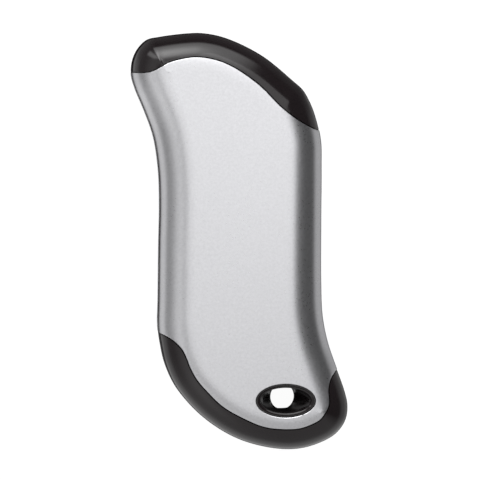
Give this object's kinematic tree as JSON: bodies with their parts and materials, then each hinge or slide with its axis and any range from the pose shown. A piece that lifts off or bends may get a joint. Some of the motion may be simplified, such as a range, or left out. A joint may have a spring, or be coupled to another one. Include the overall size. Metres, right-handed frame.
{
  "type": "rechargeable hand warmer",
  "caption": "Curved rechargeable hand warmer with bead-blasted aluminium skins, glossy black ends, a lanyard dish, a power button and charging sockets.",
  "frame": {"origin": "middle of the bounding box at the level the front skin rests on", "axes": "+Z from the front skin to the rear skin, +Y along the body towards the end with the sockets"},
  "size_m": [0.0595, 0.1148, 0.0255],
  "materials": {
    "blasted_aluminium": "bead-blasted, clear anodised",
    "gloss_black_plastic": "gloss moulded",
    "satin_black_plastic": "satin moulded",
    "clear_plastic": "clear moulded",
    "cell_wrap": "shrink wrap",
    "nickel": "rolled",
    "polyimide_film": "smooth film",
    "foam": "matt",
    "circuit_board": "solder mask",
    "plated_steel": "nickel plated",
    "black_insulator": "matt moulded",
    "chip_epoxy": "matt moulded",
    "ferrite": "matt",
    "ceramic": "sintered",
    "led_body": "satin moulded",
    "epoxy_bead": "gloss dipped",
    "red_lead": "extruded",
    "black_lead": "extruded"
  },
  "bodies": {
    "body": {"rear_skin": "blasted_aluminium", "front_skin": "blasted_aluminium", "frame_rear": "gloss_black_plastic", "frame_front": "gloss_black_plastic", "screw_1": "plated_steel", "screw_2": "plated_steel", "screw_3": "plated_steel", "screw_4": "plated_steel", "battery_cell_left": "cell_wrap", "battery_cell_right": "cell_wrap", "nickel_strip_top": "nickel", "nickel_strip_bottom": "nickel", "heater_film_rear": "polyimide_film", "heater_film_front": "polyimide_film", "foam_pad_rear": "foam", "foam_pad_front": "foam", "thermistor": "epoxy_bead", "thermal_fuse": "plated_steel", "main_board": "circuit_board", "usb_a_shell": "plated_steel", "usb_a_insulator": "black_insulator", "micro_usb_shell": "plated_steel", "micro_usb_insulator": "black_insulator", "light_pipe": "clear_plastic", "charge_led_1": "led_body", "charge_led_2": "led_body", "charge_led_3": "led_body", "charge_led_4": "led_body", "switch_body": "black_insulator", "controller_chip": "chip_epoxy", "charger_chip": "chip_epoxy", "inductor": "ferrite", "capacitor_1": "ceramic", "capacitor_2": "ceramic", "cell_lead_positive": "red_lead", "cell_lead_negative": "black_lead"},
    "button": {"power_button": "satin_black_plastic", "switch_plunger": "plated_steel"}
  },
  "joints": [
    {"name": "power_press", "type": "slide", "parent": "body", "child": "button", "axis": [-0.6546, -0.7559, 0], "range_m": [0, 0.00035], "stiffness_N_per_m": 600}
  ]
}
